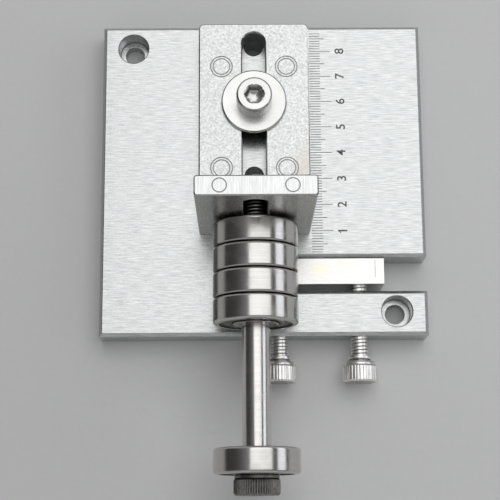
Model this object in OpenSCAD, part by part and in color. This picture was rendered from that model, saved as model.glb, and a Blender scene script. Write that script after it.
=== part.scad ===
// Manual leather strip cutter: a notched base plate, a sliding fence, a bearing roller and a clamped blade.
// Origin at the middle of the base plate's underside, X to the right, Y to the rear, Z up. Millimetres.

/* [Base plate] */
// Width of the plate, left to right
plate_w = 120; // [110:1:140]
// Depth of the plate, front to rear
plate_d = 119; // [112:1:140]
// Thickness of the plate
plate_t = 12; // [11:0.5:16]
// Chamfer along the plate's top edges
edge_chamfer = 1.2; // [0.4:0.1:2]
// Width of the front leg, front of the notch
leg_w = 16.5; // [14:0.5:20]
// Width of the notch between the leg and the blade line
notch_w = 12.5; // [12:0.5:16]
// Length of the notch from the plate's right edge
notch_l = 65.2; // [63:0.1:72]

/* [Bench holes] */
// Through hole for a bench screw
bench_hole_d = 7.2; // [5:0.1:8]
// Counterbore for the bench screw's head
bench_head_d = 11.2; // [10:0.1:13]
// Depth of the counterbore
bench_head_depth = 7.8; // [4:0.1:8]
// Hole centre to the plate's side edge
bench_inset_x = 11.4; // [9:0.1:15]
// Hole centre to the plate's front or rear edge
bench_inset_y = 8.8; // [8:0.1:9.5]

/* [Fence carriage] */
// Reading on the scale: blade line to the fence's face
fence_reading = 8.7; // [1:0.1:30]
// Middle line of the carriage, from the plate's middle
fence_x = -3.1; // [-6:0.1:0]
// Width of the carriage
carriage_w = 40.8; // [36:0.1:44]
// Length of the carriage from the fence's face to its rear end
carriage_l = 78.5; // [76:0.5:90]
// Thickness of the slotted foot
carriage_t = 10; // [8:0.5:11]
// Thickness of the upright flange
flange_t = 7; // [6:0.5:9]
// Height of the flange above the plate
flange_h = 57.5; // [50:0.5:70]
// Radius of the carriage's rear corners
carriage_corner_r = 2; // [0.5:0.1:4]
// Radius of the flange's upright corners
flange_corner_r = 1; // [0.4:0.1:2]
// Width of the foot's slot and of the flange's slot
slot_w = 8.6; // [8.4:0.1:9.4]
// Metal left behind the foot's slot
slot_rear_wall = 3.4; // [2.5:0.1:6]
// Metal left between the flange and the foot's slot
slot_front_wall = 8; // [5:0.5:9]
// Metal left above the flange's slot
riser_top_wall = 5.5; // [4:0.1:8]
// Metal left between the foot's top and the flange's slot
riser_floor = 3.8; // [2:0.1:4]
// Outside diameter of the round casting marks on the foot
foot_mark_d = 8.3; // [6:0.1:10]
// Inner ring of those marks
foot_mark_inner_d = 6.4; // [4:0.1:7]
// Outside diameter of the casting marks on the flange's top
flange_mark_d = 5; // [3.5:0.1:5.4]
// Half spacing of the casting marks across the carriage
mark_offset = 12; // [9:0.1:14]
// Rear marks to the carriage's rear end
rear_mark_inset = 16.9; // [10:0.1:20]
// Front marks to the fence's face
front_mark_inset = 22.6; // [15:0.1:28]
// Width and depth of a mark's ring groove
mark_groove = 0.3; // [0.1:0.05:0.5]

/* [Fence clamp] */
// Tapped hole in the plate, at its thread's root
fence_hole_d = 6.8; // [6:0.1:7.2]
// Spacing of the tapped holes along the carriage
fence_hole_pitch = 25.4; // [24:0.1:27]
// Blade line to the front tapped hole
fence_hole_first = 31; // [29:0.1:32]
// Shank of the clamp screw
screw_d = 8; // [7.4:0.1:8.2]
// Length of the clamp screw under its head
screw_l = 20; // [18:0.5:22]
// Diameter of the clamp screw's head
screw_head_d = 13; // [12:0.1:14]
// Height of the clamp screw's head
screw_head_h = 8; // [7:0.1:9]
// Hexagon socket, across flats
hex_af = 6; // [5:0.1:7]
// Depth of the hexagon socket
hex_depth = 4.5; // [3:0.1:6]
// Outside diameter of the clamp washer
washer_d = 24; // [18:0.5:26]
// Thickness of the clamp washer
washer_t = 1.6; // [1:0.1:3]

/* [Roller bolt] */
// Roller axis above the plate's top
roller_h = 20; // [19:0.1:28]
// Diameter of the ground shoulder
shaft_d = 10; // [9.4:0.1:10.6]
// Length of the shoulder from the fence's face to the head
shoulder_l = 88; // [80:0.5:100]
// Diameter of the knurled head
bolt_head_d = 16; // [14:0.1:18]
// Length of the knurled head
bolt_head_h = 7; // [5:0.1:9]
// Thread of the bolt, through the flange's slot
bolt_thread_d = 8; // [7.4:0.1:8.2]
// Teeth of the bolt head's knurl
bolt_teeth = 56; // [40:1:64]
// Depth of the bolt head's knurl
bolt_tooth_depth = 0.3; // [0.1:0.05:0.5]
// Hexagon socket in the bolt's head, across flats
bolt_hex_af = 5; // [4:0.1:6]
// Depth of that socket
bolt_hex_depth = 4.4; // [3:0.1:4.8]
// Shim between the fence's face and the first bearing
shim_t = 0.7; // [0.4:0.1:1.5]
// Outside diameter of the shim
shim_d = 15; // [13:0.1:16]
// Nut across flats
nut_af = 13; // [11:0.1:13]
// Height of the nut
nut_h = 6.5; // [5:0.1:8]
// Outside diameter of the washer under the nut
nut_washer_d = 16; // [14:0.1:16]
// Thickness of the washer under the nut
nut_washer_t = 1.6; // [1:0.1:2]
// Thread that stands out behind the nut
bolt_tail = 1.5; // [0.5:0.1:3]

/* [Bearings] */
// Outside diameter of a bearing
bearing_od = 30; // [28:0.1:31]
// Width of a bearing
bearing_w = 9; // [8.6:0.1:10]
// Corner radius of the rings
ring_corner_r = 0.8; // [0.3:0.1:1]
// Diameter of a ball
ball_d = 4.76; // [4.4:0.02:5]
// Radial space between the rings' lands
land_space = 3.7; // [3.4:0.1:3.9]
// Thickness of a shield
shield_t = 0.8; // [0.5:0.1:1]
// Shield's set-back from the ring's face
shield_inset = 0.3; // [0.1:0.05:0.4]
// Depth of the shield's seat in the outer ring
shield_seat = 1; // [0.6:0.1:1.2]
// Radial thickness of the ball cage
cage_wall = 2; // [1.4:0.1:2.4]
// Width of the ball cage
cage_w = 6; // [5.4:0.1:6.2]

/* [Blade] */
// Thickness of the blade
blade_t = 0.4; // [0.3:0.05:0.8]
// Height of the blade's point above the plate
blade_rise = 3; // [1:0.1:3.2]
// Length of the blade along its back
blade_l = 14; // [12:0.5:20]
// Height of the cutting edge's low end above the plate's underside
blade_heel = 9; // [7:0.1:11]
// Point of the blade to its upright back
blade_back = 5; // [3:0.1:7]
// Width of the ground bevel
blade_bevel = 1.4; // [0.8:0.1:2]

/* [Clamp bar] */
// Length of the clamp bar
bar_l = 48; // [44:0.5:56]
// Width of the clamp bar, across the notch
bar_w = 9.6; // [8.4:0.1:9.8]
// Gap between the notch's inner end and the bar
bar_end_gap = 1.5; // [0.5:0.1:4]
// Chamfer along the bar's top edges
bar_chamfer = 0.4; // [0.2:0.05:0.8]

/* [Thumb screws] */
// Spacing of the thumb screws along the bar
thumb_spacing = 29.4; // [24:0.1:30]
// Outside diameter of the thumb screws' thread
thumb_d = 6.3; // [5:0.1:6.6]
// Pitch of that thread
thumb_pitch = 1.27; // [1:0.01:1.5]
// Thread that shows in front of the leg
thumb_show = 7.1; // [5:0.1:10]
// Plain point that turns in the bar
thumb_point_d = 4.4; // [3.4:0.1:4.8]
// Depth of the point's hole in the bar
thumb_point_l = 4; // [3:0.1:6]
// Diameter of the collar behind the head
thumb_collar_d = 8.4; // [6.8:0.1:9]
// Thickness of the collar
thumb_collar_t = 1.1; // [0.8:0.1:2]
// Neck between the collar and the head
thumb_neck_l = 0.6; // [0.4:0.1:1]
// Length of the head's conical shoulder
thumb_cone_l = 1.6; // [1:0.1:2.5]
// Diameter of the knurled head
thumb_head_d = 12.7; // [10:0.1:12.8]
// Length of the knurled head
thumb_head_l = 6; // [4:0.1:8]
// Teeth of the head's knurl
thumb_teeth = 30; // [20:1:40]
// Depth of the head's knurl
thumb_tooth_depth = 0.5; // [0.2:0.05:0.8]

/* [Fits] */
// Radial clearance of a running fit
fit_clear = 0.05; // [0.02:0.01:0.08]
// Gap between flat faces that press on each other
seat_gap = 0.02; // [0.01:0.01:0.05]
// Gap under what must not touch the bench
floor_gap = 0.2; // [0.1:0.05:0.4]
// Radial clearance of a loose hole
loose_clear = 0.25; // [0.15:0.05:0.4]
// Clearance around each ball
ball_clear = 0.08; // [0.04:0.01:0.15]

/* [Hidden] */
$fn = 96;
eps = 0.01;
cut_over = 1;
fence_hole_count = 3;
ball_count = 8;
stack_count = 4;
bearing_count = stack_count + 1;

// Plate
notch_end_x = plate_w / 2 - notch_l;
leg_rear_y = -plate_d / 2 + leg_w;
blade_line_y = leg_rear_y + notch_w;
thread_chamfer = 0.25;
bench_mouth = 0.3;

// Carriage
fence_y = blade_line_y + fence_reading;
flange_rear_y = fence_y + flange_t;
carriage_rear_y = fence_y + carriage_l;
foot_top_z = plate_t + seat_gap + carriage_t;
flange_top_z = plate_t + seat_gap + flange_h;
slot_front_y = flange_rear_y + slot_front_wall;
slot_rear_y = carriage_rear_y - slot_rear_wall;
riser_low_z = foot_top_z + riser_floor;
riser_high_z = flange_top_z - riser_top_wall;

// Clamp screw in the middle tapped hole
fence_hole_y = [
    for (i = [0:fence_hole_count - 1]) blade_line_y + fence_hole_first + i * fence_hole_pitch];
screw_y = fence_hole_y[1];
washer_z = foot_top_z + seat_gap;
screw_seat_z = washer_z + washer_t;
screw_chamfer = 0.5;
screw_edge_r = 0.6;

// Roller
roller_z = plate_t + roller_h;
shoulder_y = fence_y - seat_gap;
head_y = shoulder_y - shoulder_l;
stack_y = shoulder_y - shim_t;
end_bearing_y = head_y + bearing_w;
bearing_y = [for (i = [0:bearing_count - 1]) i < stack_count ? stack_y - i * bearing_w : end_bearing_y];
nut_washer_y = flange_rear_y + seat_gap;
nut_y = nut_washer_y + nut_washer_t;
bolt_end_y = nut_y + nut_h + bolt_tail;
head_bevel = 0.7;
head_collar_l = 1.2;

// Bearing section, with the bearing's rear face at 0
pitch_r = (bearing_od + shaft_d) / 4;
ring_side_gap = 0.1;
inner_land_r = pitch_r - land_space / 2;
outer_land_r = pitch_r + land_space / 2;
race_r = ball_d / 2 + ball_clear;
seat_r = outer_land_r + shield_seat;
seat_depth = shield_inset + shield_t;
shield_lip_gap = 0.15;
corner_steps = 4;

// Clamp bar and blade
blade_end_gap = 0.5;
blade_left_x = notch_end_x + blade_end_gap;
blade_point_z = plate_t + blade_rise;
blade_low_z = 1;
blade_front_y = blade_line_y - blade_t;
bar_rear_y = blade_front_y - seat_gap;
bar_front_y = bar_rear_y - bar_w;
bar_left_x = notch_end_x + bar_end_gap;
bar_top_gap = 0.1;
bar_top_z = plate_t - bar_top_gap;
bar_mid_x = bar_left_x + bar_l / 2;

// Thumb screws
leg_front_y = -plate_d / 2;
thumb_z = thumb_head_d / 2 + floor_gap;
thumb_x = [bar_mid_x - thumb_spacing / 2, bar_mid_x + thumb_spacing / 2];
thumb_collar_y = leg_front_y - thumb_show;
thumb_tip_y = bar_front_y + thumb_point_l - seat_gap;
thread_crest = 0.2;
thread_height = 0.6;
thread_depth = thread_height * thumb_pitch;
thumb_bevel = 0.6;

BEARING_PIECES = ["outer_ring", "inner_ring", "balls", "cage", "shields"];

// Places its children on the roller's axis with their base at y, growing towards the front
module on_roller(y) {
    translate([fence_x, y, roller_z]) rotate([90, 0, 0]) children();
}

// Places its children on a thumb screw's axis with their base at y, growing towards the front
module on_thumb(x, y) {
    translate([x, y, thumb_z]) rotate([90, 0, 0]) children();
}

// Square bar turned on edge that takes a chamfer c off an edge of length l along X
module chamfer_x(l, c) {
    translate([-cut_over, 0, 0]) rotate([45, 0, 0])
        translate([0, -c / sqrt(2), -c / sqrt(2)]) cube([l + 2 * cut_over, c * sqrt(2), c * sqrt(2)]);
}

// The same along Y
module chamfer_y(l, c) {
    translate([0, -cut_over, 0]) rotate([0, 45, 0])
        translate([-c / sqrt(2), 0, -c / sqrt(2)]) cube([c * sqrt(2), l + 2 * cut_over, c * sqrt(2)]);
}

// Obround hole of width w through a plate, from y0 to y1 along Y
module obround(w, y0, y1, h) {
    linear_extrude(h) union() {
        translate([-w / 2, y0 + w / 2]) square([w, y1 - y0 - w]);
        translate([0, y0 + w / 2]) circle(d = w);
        translate([0, y1 - w / 2]) circle(d = w);
    }
}

// Outline of a toothed wheel: straight knurl with pointed teeth
function knurl_points(d, teeth, depth) = [
    for (i = [0:2 * teeth - 1])
        let (r = i % 2 == 0 ? d / 2 : d / 2 - depth, a = 180 * i / teeth)
            [r * cos(a), r * sin(a)]];

// Knurled barrel with bevelled ends, from 0 to l. Between its cones the bevelling form clears the teeth
module knurled(d, l, teeth, depth, bevel) {
    low_r = d / 2 - bevel;
    rise = bevel + depth;
    intersection() {
        linear_extrude(l) polygon(knurl_points(d, teeth, depth));
        rotate_extrude() polygon([
            [0, 0], [low_r, 0], [low_r + rise, rise], [low_r + rise, l - rise], [low_r, l], [0, l]]);
    }
}

// Section of a ringed thread of length l: root and crest points of each turn
function thread_points(d, pitch, depth, l) =
    let (turns = floor(l / pitch), r = d / 2,
         crest_low = (1 - thread_crest) / 2, crest_high = (1 + thread_crest) / 2)
    concat([[0, 0]],
        [for (i = [0:turns - 1]) each [
            [r - depth, i * pitch], [r, (i + crest_low) * pitch], [r, (i + crest_high) * pitch]]],
        [[r - depth, turns * pitch], [r - depth, l], [0, l]]);

// Quarter circle of points about (x, y) from angle a0 to a1
function corner_points(x, y, r, a0, a1) = [
    for (i = [0:corner_steps])
        let (a = a0 + (a1 - a0) * i / corner_steps) [x + r * cos(a), y + r * sin(a)]];

// Base plate with its notch, bench holes, tapped holes and the leg's thumb screw holes
module bench_hole(x, y) {
    translate([x, y, 0]) {
        translate([0, 0, -cut_over]) cylinder(d = bench_hole_d, h = plate_t + 2 * cut_over);
        translate([0, 0, plate_t - bench_head_depth])
            cylinder(d = bench_head_d, h = bench_head_depth + cut_over);
        translate([0, 0, plate_t - bench_mouth])
            cylinder(d1 = bench_head_d, d2 = bench_head_d + 2 * (bench_mouth + eps), h = bench_mouth + eps);
    }
}

module tapped_hole(y) {
    translate([fence_x, y, 0]) {
        translate([0, 0, -cut_over]) cylinder(d = fence_hole_d, h = plate_t + 2 * cut_over);
        translate([0, 0, plate_t - thread_chamfer])
            cylinder(d1 = fence_hole_d, d2 = fence_hole_d + 2 * (thread_chamfer + eps),
                     h = thread_chamfer + eps);
    }
}

module base_plate() {
    color("gainsboro") difference() {
        translate([-plate_w / 2, -plate_d / 2, 0]) cube([plate_w, plate_d, plate_t]);
        translate([notch_end_x, leg_rear_y, -cut_over])
            cube([notch_l + cut_over, notch_w, plate_t + 2 * cut_over]);
        for (y = [-plate_d / 2, plate_d / 2])
            translate([-plate_w / 2, y, plate_t]) chamfer_x(plate_w, edge_chamfer);
        for (x = [-plate_w / 2, plate_w / 2])
            translate([x, -plate_d / 2, plate_t]) chamfer_y(plate_d, edge_chamfer);
        for (y = [leg_rear_y, blade_line_y])
            translate([notch_end_x + cut_over, y, plate_t]) chamfer_x(notch_l, edge_chamfer);
        bench_hole(bench_inset_x - plate_w / 2, plate_d / 2 - bench_inset_y);
        bench_hole(plate_w / 2 - bench_inset_x, bench_inset_y - plate_d / 2);
        for (y = fence_hole_y) tapped_hole(y);
        for (x = thumb_x)
            on_thumb(x, leg_rear_y + cut_over)
                cylinder(d = thumb_d + 2 * fit_clear, h = leg_w + 2 * cut_over);
    }
}

// Blade against the notch's rear wall: its edge slopes up to a point that faces the left
module blade() {
    point_x = blade_left_x + blade_l - blade_back;
    slope = atan2(blade_point_z - blade_heel, point_x - blade_left_x);
    edge_l = norm([point_x - blade_left_x, blade_point_z - blade_heel]);
    bevel_angle = atan2(blade_t / 2, blade_bevel);
    color("lightsteelblue") difference() {
        translate([0, blade_line_y, 0]) rotate([90, 0, 0]) linear_extrude(blade_t) polygon([
            [blade_left_x, blade_low_z], [blade_left_x + blade_l, blade_low_z],
            [blade_left_x + blade_l, plate_t], [point_x, blade_point_z], [blade_left_x, blade_heel]]);
        for (side = [0, 1])
            translate([blade_left_x, blade_line_y - blade_t / 2, blade_heel]) rotate([0, -slope, 0])
                mirror([0, side, 0]) rotate([bevel_angle, 0, 0])
                    translate([-edge_l, 0, -blade_bevel]) cube([3 * edge_l, blade_t, 3 * blade_bevel]);
    }
}

// Bar that presses the blade against the wall, with a hole for each screw's point
module clamp_bar() {
    color("whitesmoke") difference() {
        translate([bar_left_x, bar_front_y, floor_gap]) cube([bar_l, bar_w, bar_top_z - floor_gap]);
        for (y = [bar_front_y, bar_rear_y])
            translate([bar_left_x, y, bar_top_z]) chamfer_x(bar_l, bar_chamfer);
        for (x = [bar_left_x, bar_left_x + bar_l])
            translate([x, bar_front_y, bar_top_z]) chamfer_y(bar_w, bar_chamfer);
        for (x = thumb_x)
            on_thumb(x, bar_front_y + thumb_point_l)
                cylinder(d = thumb_point_d + 2 * fit_clear, h = thumb_point_l + cut_over);
    }
}

// Thumb screw: point, ringed thread, collar, neck, conical shoulder and knurled head
module thumb_screw(x) {
    thread_l = bar_front_y - seat_gap - thumb_collar_y;
    neck_y = thumb_collar_y - thumb_collar_t;
    cone_y = neck_y - thumb_neck_l;
    color("silver") {
        on_thumb(x, thumb_tip_y)
            cylinder(d = thumb_point_d, h = thumb_tip_y - bar_front_y + seat_gap + eps);
        on_thumb(x, thumb_collar_y + thread_l)
            rotate_extrude() polygon(thread_points(thumb_d, thumb_pitch, thread_depth, thread_l + eps));
        on_thumb(x, thumb_collar_y) cylinder(d = thumb_collar_d, h = thumb_collar_t);
        on_thumb(x, neck_y + eps) cylinder(d = thumb_d, h = thumb_neck_l + 2 * eps);
        on_thumb(x, cone_y)
            cylinder(d1 = thumb_collar_d, d2 = thumb_head_d - 2 * thumb_tooth_depth, h = thumb_cone_l);
        on_thumb(x, cone_y - thumb_cone_l + eps)
            knurled(thumb_head_d, thumb_head_l, thumb_teeth, thumb_tooth_depth, thumb_bevel);
    }
}

// Cast carriage: slotted foot, upright flange with its own slot, and the round casting marks
module casting_mark(d) {
    translate([0, 0, -mark_groove]) difference() {
        cylinder(d = d, h = 2 * mark_groove);
        translate([0, 0, -eps]) cylinder(d = d - 2 * mark_groove, h = 2 * mark_groove + 2 * eps);
    }
}

module foot_outline() {
    r = carriage_corner_r;
    translate([-carriage_w / 2, 0]) square([carriage_w, carriage_l - r]);
    translate([-carriage_w / 2 + r, 0]) square([carriage_w - 2 * r, carriage_l]);
    for (side = [-1, 1])
        translate([side * (carriage_w / 2 - r), carriage_l - r]) circle(r = r);
}

module flange_outline() {
    r = flange_corner_r;
    translate([-carriage_w / 2, r]) square([carriage_w, flange_t - 2 * r]);
    translate([-carriage_w / 2 + r, 0]) square([carriage_w - 2 * r, flange_t]);
    for (side = [-1, 1], y = [r, flange_t - r])
        translate([side * (carriage_w / 2 - r), y]) circle(r = r);
}

module fence_carriage() {
    foot_z = plate_t + seat_gap;
    color("lightgray") translate([fence_x, 0, 0]) difference() {
        union() {
            difference() {
                translate([0, fence_y, foot_z]) linear_extrude(carriage_t) foot_outline();
                translate([-carriage_w, fence_y - cut_over, foot_z - cut_over])
                    cube([2 * carriage_w, flange_t / 2 + cut_over, carriage_t + 2 * cut_over]);
            }
            translate([0, fence_y, foot_z]) linear_extrude(flange_h) flange_outline();
        }
        translate([0, 0, foot_z - cut_over])
            obround(slot_w, slot_front_y, slot_rear_y, carriage_t + 2 * cut_over);
        translate([0, flange_rear_y + cut_over, 0]) rotate([90, 0, 0])
            obround(slot_w, riser_low_z, riser_high_z, flange_t + 2 * cut_over);
        for (x = [-mark_offset, mark_offset]) {
            for (y = [carriage_rear_y - rear_mark_inset, fence_y + front_mark_inset],
                 d = [foot_mark_d, foot_mark_inner_d])
                translate([x, y, foot_top_z]) casting_mark(d);
            translate([x, fence_y + flange_t / 2, flange_top_z]) casting_mark(flange_mark_d);
        }
    }
}

// Fence clamp: large washer and socket screw
module clamp_washer() {
    color("silver") translate([fence_x, screw_y, washer_z]) difference() {
        cylinder(d = washer_d, h = washer_t);
        translate([0, 0, -cut_over])
            cylinder(d = screw_d + 2 * loose_clear, h = washer_t + 2 * cut_over);
    }
}

module hex_socket(af, depth) {
    translate([0, 0, -depth]) cylinder(d = af / cos(30), h = depth + cut_over, $fn = 6);
}

module clamp_screw() {
    root_r = fence_hole_d / 2 - fit_clear;
    head_z = screw_seat_z + seat_gap;
    grip = head_z - plate_t - seat_gap;
    color("lightgray") translate([fence_x, screw_y, head_z]) difference() {
        rotate_extrude() polygon(concat(
            [[0, -screw_l], [root_r - screw_chamfer, -screw_l], [root_r, screw_chamfer - screw_l],
             [root_r, -grip], [screw_d / 2, -grip], [screw_d / 2, 0], [screw_head_d / 2, 0]],
            corner_points(screw_head_d / 2 - screw_edge_r, screw_head_h - screw_edge_r, screw_edge_r, 0, 90),
            [[0, screw_head_h]]));
        translate([0, 0, screw_head_h]) hex_socket(hex_af, hex_depth);
    }
}

// Roller: shoulder bolt with knurled head, shim, washer and nut
module roller_bolt() {
    shank_r = shaft_d / 2 - fit_clear / 2;
    color("dimgray") difference() {
        union() {
            on_roller(bolt_end_y) cylinder(d = bolt_thread_d, h = bolt_end_y - shoulder_y + eps);
            on_roller(shoulder_y) cylinder(r = shank_r, h = shoulder_l + seat_gap + eps);
            on_roller(head_y - seat_gap)
                cylinder(d = bolt_head_d - 2 * bolt_tooth_depth, h = head_collar_l);
            on_roller(head_y - seat_gap - head_collar_l + eps)
                knurled(bolt_head_d, bolt_head_h - head_collar_l, bolt_teeth, bolt_tooth_depth, head_bevel);
        }
        on_roller(head_y - seat_gap - bolt_head_h + eps) hex_socket(bolt_hex_af, bolt_hex_depth);
    }
}

module roller_shim() {
    color("silver") on_roller(shoulder_y) difference() {
        translate([0, 0, seat_gap / 2]) cylinder(d = shim_d, h = shim_t - seat_gap);
        translate([0, 0, -cut_over])
            cylinder(d = shaft_d + 2 * fit_clear, h = shim_t + 2 * cut_over);
    }
}

module roller_washer() {
    color("silver") on_roller(nut_washer_y + nut_washer_t) difference() {
        cylinder(d = nut_washer_d, h = nut_washer_t);
        translate([0, 0, -cut_over])
            cylinder(d = bolt_thread_d + 2 * fit_clear, h = nut_washer_t + 2 * cut_over);
    }
}

module roller_nut() {
    color("silver") on_roller(nut_y + nut_h) difference() {
        cylinder(d = nut_af / cos(30), h = nut_h, $fn = 6);
        translate([0, 0, -cut_over])
            cylinder(d = bolt_thread_d + 2 * fit_clear, h = nut_h + 2 * cut_over);
    }
}

// Ring of rectangular section with rounded outer corners, from z0 to z1
module rounded_ring(r_in, r_out, z0, z1, r) {
    rotate_extrude() polygon(concat(
        [[r_in, z0]],
        corner_points(r_out - r, z0 + r, r, -90, 0),
        corner_points(r_out - r, z1 - r, r, 0, 90),
        [[r_in, z1]]));
}

// Path of the balls: a true torus, so that both races are round
module race() {
    translate([0, 0, bearing_w / 2]) rotate_extrude() translate([pitch_r, 0]) circle(r = race_r);
}

module outer_ring(i) {
    color("slategray") on_roller(bearing_y[i - 1]) difference() {
        rounded_ring(outer_land_r, bearing_od / 2, ring_side_gap / 2, bearing_w - ring_side_gap / 2,
                     ring_corner_r);
        for (z = [ring_side_gap / 2 - cut_over, bearing_w - ring_side_gap / 2 - seat_depth])
            translate([0, 0, z]) cylinder(r = seat_r, h = seat_depth + cut_over);
        race();
    }
}

module inner_ring(i) {
    color("gray") on_roller(bearing_y[i - 1]) difference() {
        translate([0, 0, seat_gap / 2]) cylinder(r = inner_land_r, h = bearing_w - seat_gap);
        translate([0, 0, -cut_over]) cylinder(d = shaft_d, h = bearing_w + 2 * cut_over);
        race();
    }
}

module balls(i) {
    color("white") on_roller(bearing_y[i - 1])
        for (k = [0:ball_count - 1])
            rotate([0, 0, 360 * k / ball_count])
                translate([pitch_r, 0, bearing_w / 2]) sphere(d = ball_d);
}

module cage(i) {
    color("goldenrod") on_roller(bearing_y[i - 1]) difference() {
        translate([0, 0, (bearing_w - cage_w) / 2]) cylinder(r = pitch_r + cage_wall / 2, h = cage_w);
        translate([0, 0, -cut_over]) cylinder(r = pitch_r - cage_wall / 2, h = bearing_w + 2 * cut_over);
        for (k = [0:ball_count - 1])
            rotate([0, 0, 360 * k / ball_count]) translate([0, 0, bearing_w / 2]) rotate([0, 90, 0])
                cylinder(r = race_r, h = pitch_r + cage_wall);
    }
}

module shields(i) {
    color("darkslategray") on_roller(bearing_y[i - 1])
        for (z = [ring_side_gap / 2 + shield_inset, bearing_w - ring_side_gap / 2 - seat_depth])
            translate([0, 0, z]) difference() {
                cylinder(r = seat_r - fit_clear, h = shield_t);
                translate([0, 0, -cut_over])
                    cylinder(r = inner_land_r + shield_lip_gap, h = shield_t + 2 * cut_over);
            }
}

base_plate();
blade();
clamp_bar();
thumb_screw(thumb_x[0]);  // thumb_screw_left
thumb_screw(thumb_x[1]);  // thumb_screw_right
fence_carriage();
clamp_washer();
clamp_screw();
roller_bolt();
roller_shim();
roller_washer();
roller_nut();
for (i = [1:bearing_count]) {
    outer_ring(i);
    inner_ring(i);
    balls(i);
    cage(i);
    shields(i);
}
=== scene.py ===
# %% [markdown]
# # A leather strip cutter on a studio table
# The cutter is a brushed plate with a sliding fence, a roller of ball bearings and a clamped blade.
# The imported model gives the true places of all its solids, and this lesson dresses them:
# each piece gets rounded edges, real threads and knurls, and a metal finish of its own.
# All lengths below are in millimetres, and are turned to metres where a mesh is made. Only the
# table and the lamps, which reach far beyond the cutter, are given in metres.

# %% Load the frame
import math

import bmesh
import bpy
from mathutils import Euler, Matrix, Vector


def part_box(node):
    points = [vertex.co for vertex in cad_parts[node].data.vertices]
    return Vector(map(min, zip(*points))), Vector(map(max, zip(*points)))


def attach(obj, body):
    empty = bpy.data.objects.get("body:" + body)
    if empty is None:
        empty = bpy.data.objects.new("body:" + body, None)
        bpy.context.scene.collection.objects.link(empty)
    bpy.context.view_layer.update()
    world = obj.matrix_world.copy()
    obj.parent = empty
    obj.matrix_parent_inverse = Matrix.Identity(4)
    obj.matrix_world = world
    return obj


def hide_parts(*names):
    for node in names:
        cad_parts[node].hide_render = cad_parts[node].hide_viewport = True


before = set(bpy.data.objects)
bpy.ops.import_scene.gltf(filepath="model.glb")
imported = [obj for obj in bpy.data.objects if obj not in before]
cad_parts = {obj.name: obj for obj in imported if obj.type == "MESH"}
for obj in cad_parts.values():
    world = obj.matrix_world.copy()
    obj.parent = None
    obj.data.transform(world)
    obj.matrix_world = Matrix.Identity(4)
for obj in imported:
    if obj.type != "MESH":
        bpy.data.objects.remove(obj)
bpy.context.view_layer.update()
MM = 0.001


def box_of(node):
    """A node's lowest and highest corners in mm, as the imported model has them."""
    low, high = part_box(node)
    return low / MM, high / MM


# %% [markdown]
# ## The camera
# The photograph looks down on the plate from the front, tilted 12 degrees from straight down.
# A camera with no rotation looks straight down already, so its first angle is that tilt,
# and two small angles turn the picture until the plate's edges lie as they do in the photograph.

# %% Camera
IMAGE_PX = 500
FOCAL_PX = 1284.8
SENSOR_MM = 36.0
CLIP_FROM = 10.0
CAMERA_AT = Vector((-7.70, -126.56, 473.75))
CAMERA_TILT = math.radians(12.09)
CAMERA_PAN = math.radians(0.344)
CAMERA_ROLL = math.radians(0.286)


def new_object(name, data):
    """A new object in the scene, at the origin."""
    made = bpy.data.objects.new(name, data)
    bpy.context.scene.collection.objects.link(made)
    return made


camera = new_object("Camera", bpy.data.cameras.new("Camera"))
camera.data.sensor_width = SENSOR_MM
camera.data.lens = FOCAL_PX / IMAGE_PX * SENSOR_MM
camera.data.clip_start = CLIP_FROM * MM
camera.location = CAMERA_AT * MM
camera.rotation_mode = "ZYX"
camera.rotation_euler = Euler((CAMERA_TILT, -CAMERA_PAN, -CAMERA_ROLL), "ZYX")
bpy.context.scene.camera = camera
bpy.context.scene.view_settings.view_transform = "Standard"
print("lens in mm:", round(camera.data.lens, 1))

# %% [markdown]
# ## Tools for finishes
# A metal is more than a grey: brushing, blasting and wear change its colour and its gloss in places.
# A finish is a tree of shader nodes, which could be wired by hand in the editor. These helpers add
# a node or a wire in one line, so that a tree can be read from top to bottom.

# %% Nodes and wires
def add_node(owner, kind, **settings):
    """A new node with the given settings, in the tree of a finish or of the room."""
    made = owner.node_tree.nodes.new(kind)
    for key, value in settings.items():
        setattr(made, key, value)
    return made


def wire(owner, source, target):
    """A link between two sockets."""
    owner.node_tree.links.new(source, target)


def new_finish(name, colour, rough, metal=1.0):
    """A material with the given plain values, and its shader."""
    finish = bpy.data.materials.new(name)
    finish.use_nodes = True
    shader = finish.node_tree.nodes["Principled BSDF"]
    shader.inputs["Base Color"].default_value = (*colour, 1.0)
    shader.inputs["Roughness"].default_value = rough
    shader.inputs["Metallic"].default_value = metal
    print("finish:", name)
    return finish, shader


# %% [markdown]
# ## Patterns
# Every pattern lies on the object's own coordinates, so it stays put when a piece moves. A grain is
# a stretched noise. Its size is given in millimetres along X, Y and Z, so that a long thin grain
# looks brushed and a round one looks blasted. A spot is a soft ball, for a stain.

# %% Patterns
def coordinates(finish, size, centre=(0, 0, 0)):
    """The object's own coordinates from a centre, with the given size in mm as the unit."""
    coords = add_node(finish, "ShaderNodeTexCoord")
    mapping = add_node(finish, "ShaderNodeMapping", vector_type="TEXTURE")
    mapping.inputs["Location"].default_value = Vector(centre) * MM
    mapping.inputs["Scale"].default_value = Vector(size) * MM
    wire(finish, coords.outputs["Object"], mapping.inputs["Vector"])
    return mapping.outputs["Vector"]


def grain(finish, size, detail=3.0):
    """Noise whose grains have the given size in mm along each axis."""
    noise = add_node(finish, "ShaderNodeTexNoise")
    noise.inputs["Scale"].default_value = 1.0
    noise.inputs["Detail"].default_value = detail
    wire(finish, coordinates(finish, size), noise.inputs["Vector"])
    return noise.outputs["Fac"]


def spot(finish, centre, size):
    """A soft spot: 1 at its centre, and 0 at the given distance in mm along each axis."""
    fade = add_node(finish, "ShaderNodeTexGradient", gradient_type="SPHERICAL")
    wire(finish, coordinates(finish, size, centre), fade.inputs["Vector"])
    return fade.outputs["Fac"]


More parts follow.
